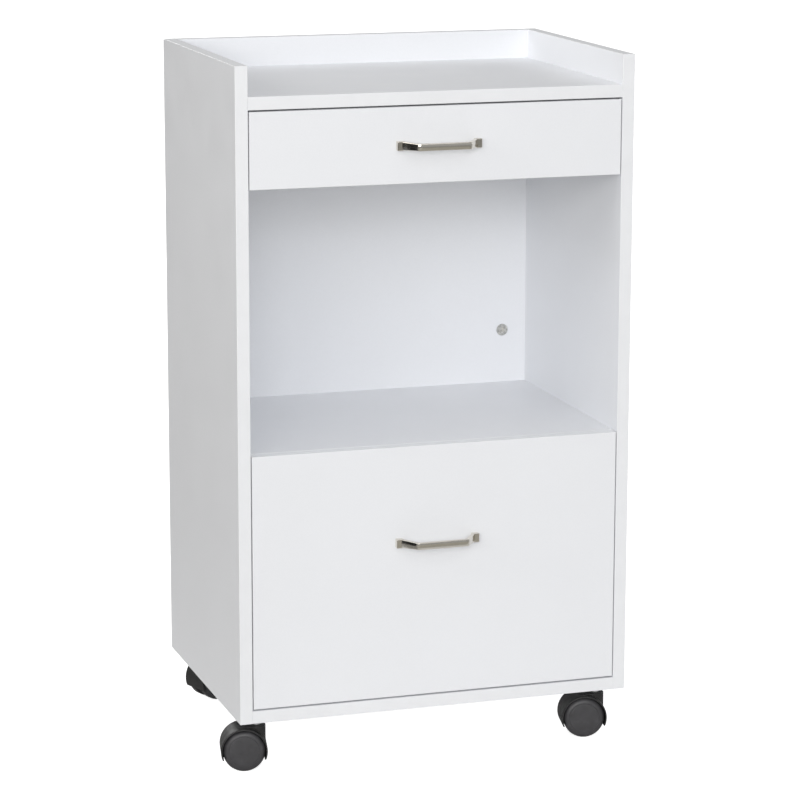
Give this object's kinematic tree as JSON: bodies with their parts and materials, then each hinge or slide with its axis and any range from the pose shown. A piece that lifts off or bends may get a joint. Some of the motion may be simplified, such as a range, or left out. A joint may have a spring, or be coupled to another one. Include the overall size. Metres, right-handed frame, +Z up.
{
  "type": "rolling pedestal cabinet",
  "caption": "White office pedestal on swivel casters with a tray top, a shallow drawer, an open niche and a deep file drawer, each drawer with a bow handle.",
  "frame": {"origin": "on the floor, under the middle of the overall footprint", "axes": "+Z up, drawers open towards -Y, +X is the cabinet's right-hand side seen from the front as the viewer's right"},
  "size_m": [0.5128, 0.3652, 0.829],
  "materials": {
    "white_melamine": "fine satin texture",
    "white_edge_band": "smooth satin",
    "drawer_board": "satin foil",
    "hardboard": "white lacquered face",
    "handle_nickel": "polished nickel",
    "zinc_plate": "bright zinc",
    "cam_zinc": "cast zinc",
    "runner_enamel": "white epoxy",
    "roller_nylon": "moulded nylon",
    "beech": "raw beech",
    "caster_hood_nylon": "satin nylon",
    "caster_wheel_nylon": "semi-gloss nylon"
  },
  "bodies": {
    "case": {"left_side_panel": "white_melamine", "right_side_panel": "white_melamine", "back_panel": "white_melamine", "top_panel": "white_melamine", "middle_shelf": "white_melamine", "bottom_panel": "white_melamine", "edge_bands": "white_edge_band", "cam_locks": "cam_zinc", "cam_bolts": "zinc_plate", "wood_dowels": "beech", "cabinet_runner_screws": "zinc_plate", "cabinet_roller_pins": "zinc_plate", "caster_stems": "zinc_plate", "caster_insert_nuts": "zinc_plate", "upper_left_cabinet_runner": "runner_enamel", "upper_right_cabinet_runner": "runner_enamel", "lower_left_cabinet_runner": "runner_enamel", "lower_right_cabinet_runner": "runner_enamel"},
    "upper_drawer": {"upper_drawer_front": "white_melamine", "upper_drawer_edge_bands": "white_edge_band", "upper_drawer_left_side": "drawer_board", "upper_drawer_right_side": "drawer_board", "upper_drawer_back": "drawer_board", "upper_drawer_bottom": "hardboard", "upper_handle": "handle_nickel", "upper_drawer_fasteners": "zinc_plate", "upper_left_drawer_runner": "runner_enamel", "upper_right_drawer_runner": "runner_enamel", "upper_drawer_roller_pins": "zinc_plate"},
    "upper_front_rollers": {"upper_front_rollers": "roller_nylon"},
    "upper_rear_rollers": {"upper_rear_rollers": "roller_nylon"},
    "lower_drawer": {"lower_drawer_front": "white_melamine", "lower_drawer_edge_bands": "white_edge_band", "lower_drawer_left_side": "drawer_board", "lower_drawer_right_side": "drawer_board", "lower_drawer_back": "drawer_board", "lower_drawer_bottom": "hardboard", "lower_handle": "handle_nickel", "lower_drawer_fasteners": "zinc_plate", "lower_left_drawer_runner": "runner_enamel", "lower_right_drawer_runner": "runner_enamel", "lower_drawer_roller_pins": "zinc_plate"},
    "lower_front_rollers": {"lower_front_rollers": "roller_nylon"},
    "lower_rear_rollers": {"lower_rear_rollers": "roller_nylon"},
    "front_left_caster": {"front_left_caster_hood": "caster_hood_nylon", "front_left_caster_axle": "zinc_plate"},
    "front_left_caster_wheel_a": {"front_left_caster_wheel_a": "caster_wheel_nylon"},
    "front_left_caster_wheel_b": {"front_left_caster_wheel_b": "caster_wheel_nylon"},
    "front_right_caster": {"front_right_caster_hood": "caster_hood_nylon", "front_right_caster_axle": "zinc_plate"},
    "front_right_caster_wheel_a": {"front_right_caster_wheel_a": "caster_wheel_nylon"},
    "front_right_caster_wheel_b": {"front_right_caster_wheel_b": "caster_wheel_nylon"},
    "rear_left_caster": {"rear_left_caster_hood": "caster_hood_nylon", "rear_left_caster_axle": "zinc_plate"},
    "rear_left_caster_wheel_a": {"rear_left_caster_wheel_a": "caster_wheel_nylon"},
    "rear_left_caster_wheel_b": {"rear_left_caster_wheel_b": "caster_wheel_nylon"},
    "rear_right_caster": {"rear_right_caster_hood": "caster_hood_nylon", "rear_right_caster_axle": "zinc_plate"},
    "rear_right_caster_wheel_a": {"rear_right_caster_wheel_a": "caster_wheel_nylon"},
    "rear_right_caster_wheel_b": {"rear_right_caster_wheel_b": "caster_wheel_nylon"}
  },
  "joints": [
    {"name": "upper_drawer_slide", "type": "slide", "parent": "case", "child": "upper_drawer", "axis": [0, -1, 0], "range_m": [0, 0.23]},
    {"name": "upper_front_rollers_turn", "type": "hinge", "parent": "case", "child": "upper_front_rollers", "pos_m": [0, -0.125, 0.7127], "axis": [1, 0, 0], "continuous": true},
    {"name": "upper_rear_rollers_turn", "type": "hinge", "parent": "upper_drawer", "child": "upper_rear_rollers", "pos_m": [0, 0.148, 0.7104], "axis": [1, 0, 0], "continuous": true},
    {"name": "lower_drawer_slide", "type": "slide", "parent": "case", "child": "lower_drawer", "axis": [0, -1, 0], "range_m": [0, 0.23]},
    {"name": "lower_front_rollers_turn", "type": "hinge", "parent": "case", "child": "lower_front_rollers", "pos_m": [0, -0.125, 0.1052], "axis": [1, 0, 0], "continuous": true},
    {"name": "lower_rear_rollers_turn", "type": "hinge", "parent": "lower_drawer", "child": "lower_rear_rollers", "pos_m": [0, 0.148, 0.1029], "axis": [1, 0, 0], "continuous": true},
    {"name": "front_left_caster_swivel", "type": "hinge", "parent": "case", "child": "front_left_caster", "pos_m": [-0.213, -0.127, 0.025], "axis": [0, 0, 1], "continuous": true},
    {"name": "front_left_caster_wheel_a_turn", "type": "hinge", "parent": "front_left_caster", "child": "front_left_caster_wheel_a", "pos_m": [-0.22816, -0.12378, 0.025], "axis": [-0.2079, -0.9781, 0], "continuous": true},
    {"name": "front_left_caster_wheel_b_turn", "type": "hinge", "parent": "front_left_caster", "child": "front_left_caster_wheel_b", "pos_m": [-0.22816, -0.12378, 0.025], "axis": [-0.2079, -0.9781, 0], "continuous": true},
    {"name": "front_right_caster_swivel", "type": "hinge", "parent": "case", "child": "front_right_caster", "pos_m": [0.213, -0.127, 0.025], "axis": [0, 0, 1], "continuous": true},
    {"name": "front_right_caster_wheel_a_turn", "type": "hinge", "parent": "front_right_caster", "child": "front_right_caster_wheel_a", "pos_m": [0.19784, -0.12378, 0.025], "axis": [-0.2079, -0.9781, 0], "continuous": true},
    {"name": "front_right_caster_wheel_b_turn", "type": "hinge", "parent": "front_right_caster", "child": "front_right_caster_wheel_b", "pos_m": [0.19784, -0.12378, 0.025], "axis": [-0.2079, -0.9781, 0], "continuous": true},
    {"name": "rear_left_caster_swivel", "type": "hinge", "parent": "case", "child": "rear_left_caster", "pos_m": [-0.208, 0.152, 0.025], "axis": [0, 0, 1], "continuous": true},
    {"name": "rear_left_caster_wheel_a_turn", "type": "hinge", "parent": "rear_left_caster", "child": "rear_left_caster_wheel_a", "pos_m": [-0.19343, 0.1573, 0.025], "axis": [-0.342, 0.9397, 0], "continuous": true},
    {"name": "rear_left_caster_wheel_b_turn", "type": "hinge", "parent": "rear_left_caster", "child": "rear_left_caster_wheel_b", "pos_m": [-0.19343, 0.1573, 0.025], "axis": [-0.342, 0.9397, 0], "continuous": true},
    {"name": "rear_right_caster_swivel", "type": "hinge", "parent": "case", "child": "rear_right_caster", "pos_m": [0.208, 0.152, 0.025], "axis": [0, 0, 1], "continuous": true},
    {"name": "rear_right_caster_wheel_a_turn", "type": "hinge", "parent": "rear_right_caster", "child": "rear_right_caster_wheel_a", "pos_m": [0.22321, 0.15496, 0.025], "axis": [-0.1908, 0.9816, 0], "continuous": true},
    {"name": "rear_right_caster_wheel_b_turn", "type": "hinge", "parent": "rear_right_caster", "child": "rear_right_caster_wheel_b", "pos_m": [0.22321, 0.15496, 0.025], "axis": [-0.1908, 0.9816, 0], "continuous": true}
  ],
  "couplings": [
    {"joint": "upper_front_rollers_turn", "follows": "upper_drawer_slide", "rad_per_m": 111.11},
    {"joint": "upper_rear_rollers_turn", "follows": "upper_drawer_slide", "rad_per_m": 113.64},
    {"joint": "lower_front_rollers_turn", "follows": "lower_drawer_slide", "rad_per_m": 111.11},
    {"joint": "lower_rear_rollers_turn", "follows": "lower_drawer_slide", "rad_per_m": 113.64}
  ]
}
